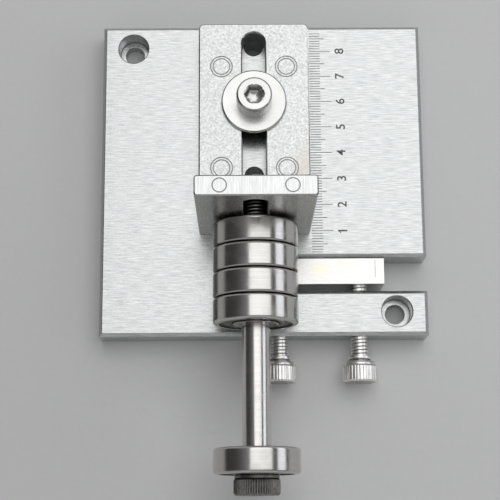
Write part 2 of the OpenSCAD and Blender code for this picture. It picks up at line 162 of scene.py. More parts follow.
def spread(owner, pattern, low, high, start=0.3, end=0.7, ease="LINEAR"):
    """The pattern's values from start to end, spread from low to high."""
    ranged = add_node(owner, "ShaderNodeMapRange", interpolation_type=ease)
    limits = {"From Min": start, "From Max": end, "To Min": low, "To Max": high}
    for name, value in limits.items():
        ranged.inputs[name].default_value = value
    wire(owner, pattern, ranged.inputs["Value"])
    return ranged.outputs["Result"]


# %% [markdown]
# ## Colour and bumps
# A pattern is only a number at each point. It becomes a colour by blending two colours, and relief
# by raising bumps. Bumps are given in millimetres, so that their height stays true to the object.

# %% Colour and bumps
COLOUR_A, COLOUR_B, COLOUR_OUT = 6, 7, 2


def blend_colours(finish, share, dark, bright):
    """A colour between dark and bright, by a share from 0 to 1. Either may be a socket."""
    mix = add_node(finish, "ShaderNodeMix", data_type="RGBA")
    wire(finish, share, mix.inputs["Factor"])
    for number, colour in ((COLOUR_A, dark), (COLOUR_B, bright)):
        if isinstance(colour, bpy.types.NodeSocket):
            wire(finish, colour, mix.inputs[number])
        else:
            mix.inputs[number].default_value = (*colour, 1.0)
    return mix.outputs[COLOUR_OUT]


def raise_bumps(finish, shader, pattern, height):
    """Bumps of the given height in mm, on top of those the shader has already."""
    bump = add_node(finish, "ShaderNodeBump")
    bump.inputs["Strength"].default_value = 1.0
    bump.inputs["Distance"].default_value = height * MM
    wire(finish, pattern, bump.inputs["Height"])
    normal = shader.inputs["Normal"]
    if normal.is_linked:
        wire(finish, normal.links[0].from_socket, bump.inputs["Normal"])
    wire(finish, bump.outputs["Normal"], normal)


# %% [markdown]
# ## Painted shade in corners
# The shader can measure how closed in a point is, and the colour goes dark there: painted shade in
# grooves, seams and inner corners, which stands in for the shadows there. Most pieces count only
# their own faces. The rings count their neighbours' too, and their painted shade is tinted brown.

# %% Painted shade in corners
# Colours of the painted shade in corners: a deep one and a pale one.
DEEP_PAINTED_SHADE = (0.10, 0.097, 0.092)
PALE_PAINTED_SHADE = (0.36, 0.355, 0.345)
GREASE_AND_PAINTED_SHADE = (0.17, 0.16, 0.135)
PAINTED_SHADE_REACH = 0.8
SHELTERED, OPEN = 0.5, 0.92


def with_grime(finish, colour, shade_colour, reach=PAINTED_SHADE_REACH, alone=True):
    """The colour, darkened as painted shade where faces within reach in mm close it in, the piece's own
    if alone.
    """
    shelter = add_node(finish, "ShaderNodeAmbientOcclusion", samples=8, only_local=alone)
    shelter.inputs["Distance"].default_value = reach * MM
    openness = spread(finish, shelter.outputs["AO"], 0, 1, SHELTERED, OPEN)
    return blend_colours(finish, openness, shade_colour, colour)


# %% [markdown]
# ## Brushed and blasted metals
# The plate was brushed from side to side with a coarse belt, so its lines run along X and are far
# longer than wide. The carriage is a casting that was blasted with grit, so its grain is round.
# One function with a grain size and two colours makes both, and the milled, faced and filed metals
# too. Oil and heat left a few yellowish stains on the bar and the carriage: each is a soft spot
# with a centre, a reach and a tint.

# %% Flat metal finishes
FINER_BY, LOWER_BY = 4, 3
STAIN_SHARE, STAIN_HEART = 0.8, 0.6
DULLER, GLOSSIER = 0.06, 0.05


def worked_metal(name, dark, bright, rough, size, height, stains=(), shade_colour=DEEP_PAINTED_SHADE):
    """A metal with grains from dark to bright, gloss that follows them, soft stains and painted shade in
    corners.
    """
    finish, shader = new_finish(name, bright, rough)
    lines = grain(finish, size)
    fine = grain(finish, [s / FINER_BY for s in size], detail=2.0)
    colour = blend_colours(finish, spread(finish, lines, 0, 1), dark, bright)
    for centre, reach, tint in stains:
        share = spread(finish, spot(finish, centre, reach), 0, STAIN_SHARE, 0, STAIN_HEART)
        colour = blend_colours(finish, share, colour, tint)
    # Painted shade: the colour goes dark in corners and grooves.
    wire(finish, with_grime(finish, colour, shade_colour), shader.inputs["Base Color"])
    gloss = spread(finish, fine, rough + DULLER, rough - GLOSSIER)
    wire(finish, gloss, shader.inputs["Roughness"])
    raise_bumps(finish, shader, lines, height)
    raise_bumps(finish, shader, fine, height / LOWER_BY)
    return finish


BAR_STAINS = [((21, -35, 12), (5, 2.6, 3), (0.76, 0.735, 0.60)),
              ((30, -33.5, 12), (6, 1.8, 3), (0.77, 0.75, 0.64))]
FENCE_STAINS = [((16, -2, 22), (6, 15, 6), (0.57, 0.54, 0.485))]
plate_aluminium = worked_metal("plate_aluminium", (0.41, 0.425, 0.425), (0.61, 0.625, 0.62),
                               rough=0.25, size=(5, 0.4, 0.4), height=0.004)
cast_alloy = worked_metal("cast_alloy", (0.48, 0.49, 0.49), (0.76, 0.77, 0.765), rough=0.38,
                          size=(0.75, 0.75, 0.75), height=0.018, stains=FENCE_STAINS,
                          shade_colour=PALE_PAINTED_SHADE)
milled_alloy = worked_metal("milled_alloy", (0.56, 0.57, 0.57), (0.73, 0.74, 0.735), rough=0.32,
                            size=(0.4, 7, 0.4), height=0.004, shade_colour=PALE_PAINTED_SHADE)
faced_alloy = worked_metal("faced_alloy", (0.66, 0.66, 0.64), (0.77, 0.77, 0.75), rough=0.28,
                           size=(0.3, 0.3, 6), height=0.002)
# Painted shade: the filed bevels get a darker colour, as well as a mirror-like gloss.
filed_edge_painted_shade = worked_metal("filed_edge_painted_shade", (0.36, 0.36, 0.355), (0.46, 0.46, 0.455), rough=0.14,
                          size=(0.4, 0.4, 0.4), height=0.002)
bar_steel = worked_metal("bar_steel", (0.68, 0.677, 0.655), (0.76, 0.757, 0.735), rough=0.30,
                         size=(9, 0.3, 0.3), height=0.003, stains=BAR_STAINS)
blade_steel = worked_metal("blade_steel", (0.50, 0.51, 0.53), (0.66, 0.67, 0.69), rough=0.2,
                           size=(0.25, 6, 6), height=0.001)

# %% [markdown]
# ## Turned and ground metals
# Rings and shafts are ground while they turn, so their lines go round the axis. Along the roller's
# axis, Y, the grain is very short, and across it very long, which draws rings on a round surface.
# Handling leaves faint smudges, which only show as changes of gloss.

# %% Round metal finishes
LINE_LENGTH, LINE_WIDTH, LINE_HEIGHT = 30.0, 0.12, 0.0006
PRINT_SIZE = 5
PRINT_FROM, PRINT_FULL = 0.45, 0.7


def ground_metal(name, dark, bright, rough, smudge, axis="Y", shade_colour=DEEP_PAINTED_SHADE, reach=PAINTED_SHADE_REACH,
                 alone=True):
    """A polished metal with fine rings round an axis, smudges in its gloss and painted shade in corners.
    """
    finish, shader = new_finish(name, bright, rough)
    size = [LINE_LENGTH] * 3
    size["XYZ".index(axis)] = LINE_WIDTH
    rings = grain(finish, size, detail=2.0)
    prints = grain(finish, [PRINT_SIZE] * 3, detail=4.0)
    colour = blend_colours(finish, spread(finish, rings, 0, 1), dark, bright)
    # Painted shade: the colour goes dark in corners and grooves.
    wire(finish, with_grime(finish, colour, shade_colour, reach, alone), shader.inputs["Base Color"])
    gloss = spread(finish, prints, rough, rough + smudge, PRINT_FROM, PRINT_FULL)
    wire(finish, gloss, shader.inputs["Roughness"])
    raise_bumps(finish, shader, rings, LINE_HEIGHT)
    return finish


# The rings' seams get painted shade from their neighbours' faces too, tinted brown like old grease.
chrome_steel = ground_metal("chrome_steel", (0.53, 0.52, 0.50), (0.62, 0.61, 0.59), rough=0.18,
                            smudge=0.08, shade_colour=GREASE_AND_PAINTED_SHADE, reach=4.0, alone=False)
bolt_steel = ground_metal("bolt_steel", (0.58, 0.57, 0.555), (0.70, 0.69, 0.675), rough=0.20,
                          smudge=0.08)
# Painted dark reflection: the shields are steel, but their colour is nearly black, as if they mirrored a
# dark table.
shield_steel = ground_metal("shield_steel", (0.035, 0.035, 0.036), (0.07, 0.07, 0.071), rough=0.26,
                            smudge=0.10)
screw_steel = ground_metal("screw_steel", (0.88, 0.87, 0.84), (0.96, 0.95, 0.92), rough=0.30,
                           smudge=0.08, shade_colour=PALE_PAINTED_SHADE)
stainless = ground_metal("stainless", (0.50, 0.50, 0.49), (0.62, 0.62, 0.61), rough=0.20,
                         smudge=0.08, axis="Z", shade_colour=PALE_PAINTED_SHADE)
zinc_plate = ground_metal("zinc_plate", (0.55, 0.55, 0.535), (0.69, 0.69, 0.675), rough=0.26,
                          smudge=0.06, axis="Z")
ball_steel = ground_metal("ball_steel", (0.66, 0.66, 0.67), (0.74, 0.74, 0.75), rough=0.06,
                          smudge=0.04)
cage_steel = ground_metal("cage_steel", (0.48, 0.44, 0.36), (0.58, 0.54, 0.46), rough=0.32,
                          smudge=0.10)

# %% [markdown]
# ## Black oxide
# The roller bolt's head and thread were blackened in a hot bath. The coat is thin, and hands rub it
# to a brownish grey in patches, which a round noise gives. In its recesses, and most beside the last
# bearing, it gets painted shade, nearly black, which counts the neighbours' faces as the rings' does.

# %% Black oxide
OXIDE_DARK, OXIDE_RUBBED = (0.17, 0.165, 0.16), (0.36, 0.35, 0.325)
OXIDE_PAINTED_SHADE = (0.03, 0.029, 0.028)
OXIDE_GLOSSY, OXIDE_DULL = 0.30, 0.46
RUB_SIZE, RUB_HEIGHT = 1.2, 0.004

black_oxide, oxide_shader = new_finish("black_oxide", (0.2, 0.2, 0.2), 0.34, metal=0.9)
rub = grain(black_oxide, [RUB_SIZE] * 3, detail=4.0)
rub_share = spread(black_oxide, rub, 0, 1)
oxide_colour = blend_colours(black_oxide, rub_share, OXIDE_DARK, OXIDE_RUBBED)
# Painted shade: nearly black in recesses, most where the head's neck sits beside the last bearing.
oxide_colour = with_grime(black_oxide, oxide_colour, OXIDE_PAINTED_SHADE, reach=2.0, alone=False)
oxide_gloss = spread(black_oxide, rub, OXIDE_GLOSSY, OXIDE_DULL)
wire(black_oxide, oxide_colour, oxide_shader.inputs["Base Color"])
wire(black_oxide, oxide_gloss, oxide_shader.inputs["Roughness"])
raise_bumps(black_oxide, oxide_shader, rub, RUB_HEIGHT)

# %% [markdown]
# ## Tools for shapes
# Most pieces here came off a lathe, so the main tool is a spin: a half outline of a few points
# turns once round an axis. Sharp turned edges are broken with a file, which is a small bevel.
# A copy of a CAD solid is also a good start for a milled piece, once its triangles are merged.

# %% Shape helpers
STEPS = 120
MERGE = 1e-6
FLAT_WITHIN = math.radians(0.2)


def lathe(bm, outline, base, axis, closed=False):
    """Spins an outline of (radius, along) points in mm about an axis through base."""
    base = Vector(base)
    axis = Vector(axis)
    out = Vector((1, 0, 0))
    verts = [bm.verts.new((base + out * radius + axis * along) * MM) for radius, along in outline]
    edges = [bm.edges.new(pair) for pair in zip(verts, verts[1:])]
    if closed:
        edges.append(bm.edges.new((verts[-1], verts[0])))
    bmesh.ops.spin(bm, geom=verts + edges, cent=base * MM, axis=axis, dvec=(0, 0, 0),
                   angle=2 * math.pi, steps=STEPS, use_merge=True, use_normal_flip=False,
                   use_duplicate=False)
    return bm


def seal(bm):
    """Merges doubles and turns all faces outwards."""
    bmesh.ops.remove_doubles(bm, verts=bm.verts, dist=MERGE)
    bmesh.ops.recalc_face_normals(bm, faces=bm.faces)


def soften(bm, width, segments=2, angle=30, keep=None):
    """Bevels the edges that bend more than the angle, where keep(edge) allows it."""
    bend = math.radians(angle)
    sharp = [e for e in bm.edges if len(e.link_faces) == 2 and e.calc_face_angle() > bend]
    if keep:
        sharp = [e for e in sharp if keep(e)]
    bmesh.ops.bevel(bm, geom=sharp, offset=width * MM, offset_type="OFFSET", affect="EDGES",
                    segments=segments, profile=0.5, material=-1, clamp_overlap=False)


def copy_of(node):
    """A CAD node's solid as one merged mesh with flat faces joined."""
    bm = bmesh.new()
    bm.from_mesh(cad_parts[node].data)
    bmesh.ops.remove_doubles(bm, verts=bm.verts, dist=MERGE)
    bmesh.ops.dissolve_limit(bm, angle_limit=FLAT_WITHIN, use_dissolve_boundaries=False,
                             verts=bm.verts, edges=bm.edges, delimit=set())
    return bm


# %% [markdown]
# ## From mesh to piece
# A finished mesh becomes an object that shades smoothly, apart from its sharp edges, and that moves
# with one body of the cutter. The solids it stands for are hidden.

# %% Pieces
SHARP_FROM = math.radians(38)


def make_piece(bm, name, finish, body, slot, *nodes):
    """Writes the mesh, gives it its finish, and puts it on its body in place of the nodes."""
    mesh = bpy.data.meshes.new(name)
    bm.to_mesh(mesh)
    bm.free()
    mesh.materials.append(finish)
    mesh.shade_smooth()
    mesh.set_sharp_from_angle(angle=SHARP_FROM)
    piece = new_object(name, mesh)
    even = piece.modifiers.new("even_normals", "WEIGHTED_NORMAL")
    even.keep_sharp = True
    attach(piece, body)
    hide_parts(*nodes)
    print(name, "has", len(mesh.polygons), "faces")
    return piece


# %% [markdown]
# ## The base plate and the clamp bar
# Both are milled blocks. Their solids are right already, so each is copied and merged, and only its
# edges are broken, because no real edge is a perfect line: it always catches a thread of light.

# %% Plate and bar
PLATE_EDGE, BAR_EDGE = 0.15, 0.12

plate = copy_of("base_plate")
soften(plate, PLATE_EDGE)
make_piece(plate, "plate", plate_aluminium, "base", "plate_aluminium", "base_plate")

bar = copy_of("clamp_bar")
soften(bar, BAR_EDGE)
make_piece(bar, "bar", bar_steel, "clamp_bar", "bar_steel", "clamp_bar")

# %% [markdown]
# ## The engraved scale
# The scale is cut into the plate by a laser: a line each millimetre, longer at the half and the
# whole centimetre. Real cuts could be made with booleans, but each line would split the plate's
# large faces. So a line is a thin dark inlay instead, let into the plate and hardly proud of it.

# %% Scale
PLATE_TOP = box_of("base_plate")[1].z
BLADE_LINE = box_of("blade")[1].y
CM, HALF_CM = 10, 5
SCALE_LEFT = 18.03
TICK_ENDS = {"millimetre": 22.05, "half": 23.71, "centimetre": 25.98}
FIRST_TICK, LAST_TICK = 2, 87
TICK_WIDTH = 0.24
INLAY_DEPTH, INLAY_PROUD = 0.03, 0.012
INLAY_T = INLAY_PROUD + INLAY_DEPTH

scale_ink, ink_shader = new_finish("scale_ink", (0.10, 0.10, 0.10), 0.55, metal=0.2)
ink_share = spread(scale_ink, grain(scale_ink, (0.4, 0.4, 0.4)), 0, 1)
ink_colour = blend_colours(scale_ink, ink_share, (0.05, 0.05, 0.05), (0.20, 0.20, 0.20))
wire(scale_ink, ink_colour, ink_shader.inputs["Base Color"])


def inlay(bm, low, high, top):
    """A thin line let into a face at the height top, from one (x, y) corner to the other."""
    size = Vector((high[0] - low[0], high[1] - low[1], INLAY_T))
    middle = Vector((low[0], low[1], top - INLAY_DEPTH)) + size / 2
    place = Matrix.Translation(middle * MM) @ Matrix.Diagonal((*size, 1))
    bmesh.ops.create_cube(bm, size=MM, matrix=place)


ticks = bmesh.new()
for reading in range(FIRST_TICK, LAST_TICK + 1):
    kind = "millimetre"
    if reading % CM == 0:
        kind = "centimetre"
    elif reading % HALF_CM == 0:
        kind = "half"
    y = BLADE_LINE + reading
    inlay(ticks, (SCALE_LEFT, y - TICK_WIDTH / 2), (TICK_ENDS[kind], y + TICK_WIDTH / 2), PLATE_TOP)
make_piece(ticks, "scale_lines", scale_ink, "base", "plate_aluminium")

# %% [markdown]
# ## The line on the bar
# A single line is scribed across the bar near its right end. It is one more inlay, measured from the
# bar's own box, and it rides on the bar.

# %% Scribed line on the bar
SCRIBE_INSET, SCRIBE_WIDTH = 3.4, 0.15
SCRIBE_REAR, SCRIBE_FRONT = 0.7, 7.0
bar_high = box_of("clamp_bar")[1]
scribe_x = bar_high.x - SCRIBE_INSET
scribe_low = (scribe_x, bar_high.y - SCRIBE_FRONT)
scribe_high = (scribe_x + SCRIBE_WIDTH, bar_high.y - SCRIBE_REAR)
scribe = bmesh.new()
inlay(scribe, scribe_low, scribe_high, bar_high.z)
make_piece(scribe, "bar_line", scale_ink, "clamp_bar", "bar_steel")

# %% [markdown]
# ## The numbers
# Plain numbers stand beside the centimetre lines and read from the right. Each is a text object,
# made a mesh and then turned and set down in its place. The font draws its 1 as a plain stroke, so
# that number gets a short slanted flag of its own, set a hair lower so that no two faces coincide.

# %% Numbers
NUMBER_X = 29.35
NUMBER_HEIGHT = 3.3
NUMBER_BOLD = 0.06
CAP_SHARE = 0.70
INLAY_MIDDLE = PLATE_TOP + (INLAY_PROUD - INLAY_DEPTH) / 2
FLAG, FLAG_WIDTH, FLAG_DROP = Vector((0.85, -0.8, 0)), 0.36, 0.002


def turned(start, end):
    """The turn from one direction to another."""
    return Vector(start).rotation_difference(Vector(end)).to_matrix().to_4x4()


numbers = bmesh.new()
for centimetre in range(1, LAST_TICK // CM + 1):
    letter = bpy.data.curves.new("number", "FONT")
    letter.body = str(centimetre)
    letter.align_x = "CENTER"
    letter.size = NUMBER_HEIGHT / CAP_SHARE * MM
    letter.extrude = INLAY_T / 2 * MM
    letter.offset = NUMBER_BOLD * MM
    written = new_object("number", letter)
    bpy.context.view_layer.update()
    shape = bpy.data.meshes.new_from_object(written)
    place = Vector((NUMBER_X + NUMBER_HEIGHT / 2, BLADE_LINE + CM * centimetre, INLAY_MIDDLE))
    shape.transform(Matrix.Translation(place * MM) @ Matrix.Rotation(math.pi / 2, 4, "Z"))
    numbers.from_mesh(shape)
    bpy.data.objects.remove(written)
    bpy.data.curves.remove(letter)
    bpy.data.meshes.remove(shape)

flag_x = NUMBER_X - NUMBER_HEIGHT / 2 + FLAG_WIDTH / 2
flag_top = Vector((flag_x, BLADE_LINE + CM, INLAY_MIDDLE - FLAG_DROP))
flag_place = Matrix.Translation((flag_top + FLAG / 2) * MM) @ turned((1, 0, 0), FLAG)
flag_size = Matrix.Diagonal((FLAG.length, FLAG_WIDTH, INLAY_T, 1))
bmesh.ops.create_cube(numbers, size=MM, matrix=flag_place @ flag_size)
seal(numbers)
bmesh.ops.dissolve_degenerate(numbers, dist=MERGE, edges=numbers.edges)
make_piece(numbers, "scale_numbers", scale_ink, "base", "plate_aluminium")

# %% [markdown]
# ## The fence carriage
# The carriage is a casting: its corners are soft, its faces grainy, and round marks show where pins
# pushed it out of the mould. The copy's outer edges get a wide bevel, and the fine grooves of the
# marks a narrow one, because a wide bevel would close them. The flange was machined after casting:
# its top was milled from front to back, and its front was faced so smooth that it mirrors the
# bearings a little. The bevels were filed by hand and mirror the dark side of the room, and their
# colour is also painted dark, as painted shade along the edges. Those faces get finishes of their own.

# %% Carriage
FOOT_T = 10.0
MARK_X = 12.0
FOOT_MARK_R, FLANGE_MARK_R, MARK_DEPTH = 4.2, 2.6, 1
REAR_MARK_IN, FRONT_MARK_IN, FLANGE_MARK_IN = 16.9, 22.6, 3.5
fence_low, fence_high = box_of("fence_carriage")
CARRIAGE_X = (fence_low.x + fence_high.x) / 2
foot_top = fence_low.z + FOOT_T
MARKS = [(fence_high.y - REAR_MARK_IN, foot_top, FOOT_MARK_R),
         (fence_low.y + FRONT_MARK_IN, foot_top, FOOT_MARK_R),
         (fence_low.y + FLANGE_MARK_IN, fence_high.z, FLANGE_MARK_R)]


def by_a_mark(point):
    """Whether a point in metres lies on one of the casting marks."""
    middle = point / MM
    for y, top, reach in MARKS:
        for side in (-1, 1):
            flat = Vector((middle.x - CARRIAGE_X - side * MARK_X, middle.y - y))
            if flat.length < reach and middle.z > top - MARK_DEPTH:
                return True
    return False


def on_a_mark(edge):
    """Whether an edge belongs to one of the casting marks."""
    return by_a_mark((edge.verts[0].co + edge.verts[1].co) / 2)


CASTING_EDGE, MARK_EDGE = 0.45, 0.06
carriage = copy_of("fence_carriage")
soften(carriage, CASTING_EDGE, segments=1, keep=lambda e: not on_a_mark(e))
soften(carriage, MARK_EDGE, segments=1, angle=60, keep=on_a_mark)
carriage_piece = make_piece(carriage, "carriage", cast_alloy, "carriage", "cast_alloy",
                            "fence_carriage")

# %% [markdown]
# ## The machined faces
# A face knows its own place and direction, so each machined surface is found by a simple test: the
# highest faces are the milled top, the foremost are the faced front, and those that lean are the
# filed bevels. Each takes the number of its finish in the piece's list.

# %% Machined faces
MACHINED = 0.05
LEAN_FROM, LEAN_TO = 0.4, 0.95
MILLED, FACED, FILED_PAINTED_SHADE = 1, 2, 3
for finish in (milled_alloy, faced_alloy, filed_edge_painted_shade):
    carriage_piece.data.materials.append(finish)
# The leaning bevels take the darker finish, which paints shade along the carriage's edges.
for face in carriage_piece.data.polygons:
    if face.center.z / MM > fence_high.z - MACHINED:
        face.material_index = MILLED
    elif face.center.y / MM < fence_low.y + MACHINED:
        face.material_index = FACED
    elif LEAN_FROM < abs(face.normal.z) < LEAN_TO and not by_a_mark(face.center):
        face.material_index = FILED_PAINTED_SHADE
print("machined faces:", sum(f.material_index > 0 for f in carriage_piece.data.polygons))

# %% [markdown]
# ## The washer
# A washer is a rectangle spun round an axis. Its edges are broken in a bevel, wide on the clamp
# washer, which was turned, and narrow on the thin ones that come later.

# %% Washer
UP = (0, 0, 1)
WASHER_BORE, WASHER_EDGE = 4.25, 0.5


def flat_ring(bore, radius, thick, base, axis, edge, segments=2):
    """A ring with a rectangular outline and broken edges."""
    outline = [(bore, 0), (radius, 0), (radius, thick), (bore, thick)]
    ring = lathe(bmesh.new(), outline, base, axis, closed=True)
    seal(ring)
    soften(ring, edge, segments)
    return ring


washer_low, washer_high = box_of("clamp_washer")
screw_axis = (washer_low + washer_high) / 2
WASHER_R = (washer_high.x - washer_low.x) / 2
WASHER_T = washer_high.z - washer_low.z
washer_place = (screw_axis.x, screw_axis.y, washer_low.z)
washer = flat_ring(WASHER_BORE, WASHER_R, WASHER_T, washer_place, UP, WASHER_EDGE, segments=1)
make_piece(washer, "washer", zinc_plate, "clamp_washer", "stainless", "clamp_washer")

# %% [markdown]
# ## The socket screw
# The screw's head is turned and then broached with a hexagon. Here the head is a spin that stays
# open on top, and a hexagon with as many points as the rim is bridged to it, then pushed down.
# A drill's cone closes the bottom of the socket.

# %% Socket
HALF_SIDE = math.pi / 6


def circle(bm, radius, points, centre, axis, twist=0.0):
    """A ring of points in mm round a centre, square to the axis."""
    place = Matrix.Translation(Vector(centre) * MM) @ turned(UP, axis)
    return bmesh.ops.create_circle(bm, cap_ends=False, radius=radius * MM, segments=points,
                                   matrix=place @ Matrix.Rotation(twist, 4, "Z"))["verts"]


def hexagon(bm, flats, centre, axis):
    """A hexagon's edges, cut as finely as a spin's rim, about a centre on the given axis."""
    before = set(bm.edges)
    circle(bm, flats / 2 / math.cos(HALF_SIDE), 6, centre, axis, twist=HALF_SIDE)
    sides = [e for e in bm.edges if e not in before]
    bmesh.ops.subdivide_edges(bm, edges=sides, cuts=STEPS // 6 - 1)
    return [e for e in bm.edges if e not in before]


def push_in(bm, edges, depth, axis, shrink=1.0):
    """Extrudes a ring of edges by depth against the axis, and returns the new ring."""
    grown = bmesh.ops.extrude_edge_only(bm, edges=edges)["geom"]
    verts = [g for g in grown if isinstance(g, bmesh.types.BMVert)]
    bmesh.ops.translate(bm, verts=verts, vec=Vector(axis) * -depth * MM)
    middle = sum((v.co for v in verts), Vector()) / len(verts)
    bmesh.ops.scale(bm, verts=verts, vec=(shrink, shrink, shrink), space=Matrix.Translation(-middle))
    return [g for g in grown if isinstance(g, bmesh.types.BMEdge)]


def socket(bm, flats, depth, centre, axis, mouth):
    """Closes an open rim with a hexagon socket that starts below a countersunk mouth."""
    seal(bm)
    rim = [e for e in bm.edges if e.is_boundary]
    sides = hexagon(bm, flats, Vector(centre) - Vector(axis) * mouth, axis)
    bmesh.ops.bridge_loops(bm, edges=rim + sides)
    floor = push_in(bm, sides, depth, axis)
    push_in(bm, floor, flats / 6, axis, shrink=0.0)


# %% Clamp screw
HEAD_R, HEAD_H, SHANK_R, ROOT_R = 6.5, 8.0, 4.0, 3.35
HEAD_ROUND, SHANK_CHAMFER, SCREW_GAP, SCREW_EDGE = 0.6, 0.6, 0.02, 0.15
SOCKET_FLATS, SOCKET_DEPTH, MOUTH_R, MOUTH_DEPTH = 6.0, 4.2, 3.75, 0.4
screw_low, screw_high = box_of("clamp_screw")
head_seat = Vector((screw_axis.x, screw_axis.y, screw_high.z - HEAD_H))
SHANK_L = head_seat.z - screw_low.z
GRIP = head_seat.z - PLATE_TOP - SCREW_GAP
shank_outline = [(0, -SHANK_L), (ROOT_R - SHANK_CHAMFER, -SHANK_L), (ROOT_R, SHANK_CHAMFER - SHANK_L),
                 (ROOT_R, -GRIP), (SHANK_R, -GRIP), (SHANK_R, 0)]
head_outline = [(HEAD_R, 0), (HEAD_R, HEAD_H - HEAD_ROUND), (HEAD_R - HEAD_ROUND, HEAD_H),
                (MOUTH_R, HEAD_H)]

screw = lathe(bmesh.new(), shank_outline + head_outline, head_seat, UP)
head_top = head_seat + Vector(UP) * HEAD_H
socket(screw, SOCKET_FLATS, SOCKET_DEPTH, head_top, UP, MOUTH_DEPTH)
seal(screw)
soften(screw, SCREW_EDGE)
make_piece(screw, "clamp_screw_turned", stainless, "clamp_screw", "stainless", "clamp_screw")

# %% [markdown]
# ## Threads
# A thread is one tooth's outline spun many turns, moving one pitch along its axis each turn: the
# spin operator does that with its step vector. It is spun too long at both ends and then cut flat,
# which leaves the run-out that a real cut thread shows.

# %% Threads
THREAD_STEPS = 40
SPARE_TURNS = 3
CUT_WITHIN = 1e-7


def cut_flat(bm, point, axis):
    """Cuts away what lies past a point along the axis, and closes the cut."""
    cut = bmesh.ops.bisect_plane(bm, geom=bm.verts[:] + bm.edges[:] + bm.faces[:], dist=CUT_WITHIN,
                                 plane_co=Vector(point) * MM, plane_no=axis, clear_outer=True)
    rim = [g for g in cut["geom_cut"] if isinstance(g, bmesh.types.BMEdge)]
    bmesh.ops.edgeloop_fill(bm, edges=rim)


def threaded(radius, pitch, length, base, axis, depth=0.6, crest=0.2):
    """A helical thread in mm from base along the axis, as a closed rod.
    Depth and crest are shares of the pitch."""
    bm = bmesh.new()
    axis = Vector(axis)
    base = Vector(base)
    turns = math.ceil(length / pitch) + SPARE_TURNS
    root = radius - depth * pitch
    tooth = [(root, 0), (radius, 0.5 - crest / 2), (radius, 0.5 + crest / 2), (root, 1)]
    start = base - axis * (SPARE_TURNS / 2) * pitch
    out = Vector((1, 0, 0))
    verts = [bm.verts.new((start + out * r + axis * pitch * a) * MM) for r, a in tooth]
    edges = [bm.edges.new(pair) for pair in zip(verts, verts[1:])]
    bmesh.ops.spin(bm, geom=verts + edges, cent=start * MM, axis=axis,
                   dvec=axis * pitch / THREAD_STEPS * MM, angle=2 * math.pi * turns,
                   steps=THREAD_STEPS * turns, use_merge=False, use_normal_flip=False,
                   use_duplicate=False)
    bmesh.ops.remove_doubles(bm, verts=bm.verts, dist=MERGE)
    cut_flat(bm, base, -axis)
    cut_flat(bm, base + axis * length, axis)
    bmesh.ops.recalc_face_normals(bm, faces=bm.faces)
    return bm


# %% [markdown]
# ## Knurls
# A knurl is a ring of points whose every tooth dips in a smooth wave. It is drawn out along the
# axis and clipped to a cone at its bevelled ends, as the lathe does when it turns the bevel over
# the finished knurl. The sleeve's inside is bridged, so that it is a closed shell.

# %% Knurls
TOOTH_POINTS = 12


def knurled(radius, depth, teeth, stations, base, axis, power):
    """A knurled sleeve: at each (along, limit) station its teeth are clipped to the limit's radius.
    A high power makes narrow grooves between wide lands."""
    bm = bmesh.new()
    tooth_reach = bm.verts.layers.float.new("tooth_reach")
    axis = Vector(axis)
    base = Vector(base)
    for k, vert in enumerate(circle(bm, radius, teeth * TOOTH_POINTS, base, axis)):
        dip = (0.5 - 0.5 * math.cos(2 * math.pi * k / TOOTH_POINTS)) ** power
        vert[tooth_reach] = radius - depth * dip
    first = edges = bm.edges[:]
    for number, (along, limit) in enumerate(stations):
        if number > 0:
            grown = bmesh.ops.extrude_edge_only(bm, edges=edges)["geom"]
            edges = [g for g in grown if isinstance(g, bmesh.types.BMEdge)]
        for vert in {v for e in edges for v in e.verts}:
            out = vert.co - base * MM
            out = (out - axis * out.dot(axis)).normalized()
            vert.co = (base + axis * along + out * min(vert[tooth_reach], limit)) * MM
    bmesh.ops.bridge_loops(bm, edges=first + edges)
    bmesh.ops.recalc_face_normals(bm, faces=bm.faces)
    return bm


def joined(*parts):
    """Several meshes as one."""
    whole = bmesh.new()
    for part in parts:
        shape = bpy.data.meshes.new("part")
        part.to_mesh(shape)
        part.free()
        whole.from_mesh(shape)
        bpy.data.meshes.remove(shape)
    return whole


# %% [markdown]
# ## The thumb screws
# A thumb screw is turned from bright steel: a plain point that sits in the bar, a coarse thread, a
# collar, a round shoulder and a knurled head with a dished end. The core is one spin. The thread
# and the knurl are separate closed shells round it, because each has its own rhythm round the axis.
# The end was faced on the lathe and is duller than the plated sides.

# %% Thumb screws
FRONT = (0, -1, 0)
HEAD_REACH, POINT_L, THUMB_EDGE = 9.29, 4.0, 0.12
THUMB_R, THUMB_PITCH, THUMB_DEPTH, THUMB_CREST = 3.15, 1.27, 0.24, 0.55
COLLAR_R, COLLAR_L = 4.2, 1.1
KNURL_R, KNURL_DEPTH, KNURL_TEETH, KNURL_POWER = 6.35, 0.15, 30, 8
ROUND_R, ROUND_END = 1.4, 3.1
FACING_FRONT = 0.8
quarter = [math.radians(15 * k) for k in range(7)]
shoulder_round = [(COLLAR_R + ROUND_R * math.sin(t), ROUND_END - ROUND_R * math.cos(t))
                  for t in quarter]
THUMB_HEAD = [(COLLAR_R, 0), (COLLAR_R, COLLAR_L), (THUMB_R, COLLAR_L),
              (THUMB_R, ROUND_END - ROUND_R), *shoulder_round,
              (5.6, 9.25), (5.0, 9.25), (4.6, 9.0), (0, 8.8)]
THUMB_SLEEVE = [(3.05, 5.5), (3.3, 5.85), (3.8, 6.4), (8.7, 6.4), (HEAD_REACH, 5.8), (HEAD_REACH, 5.5)]

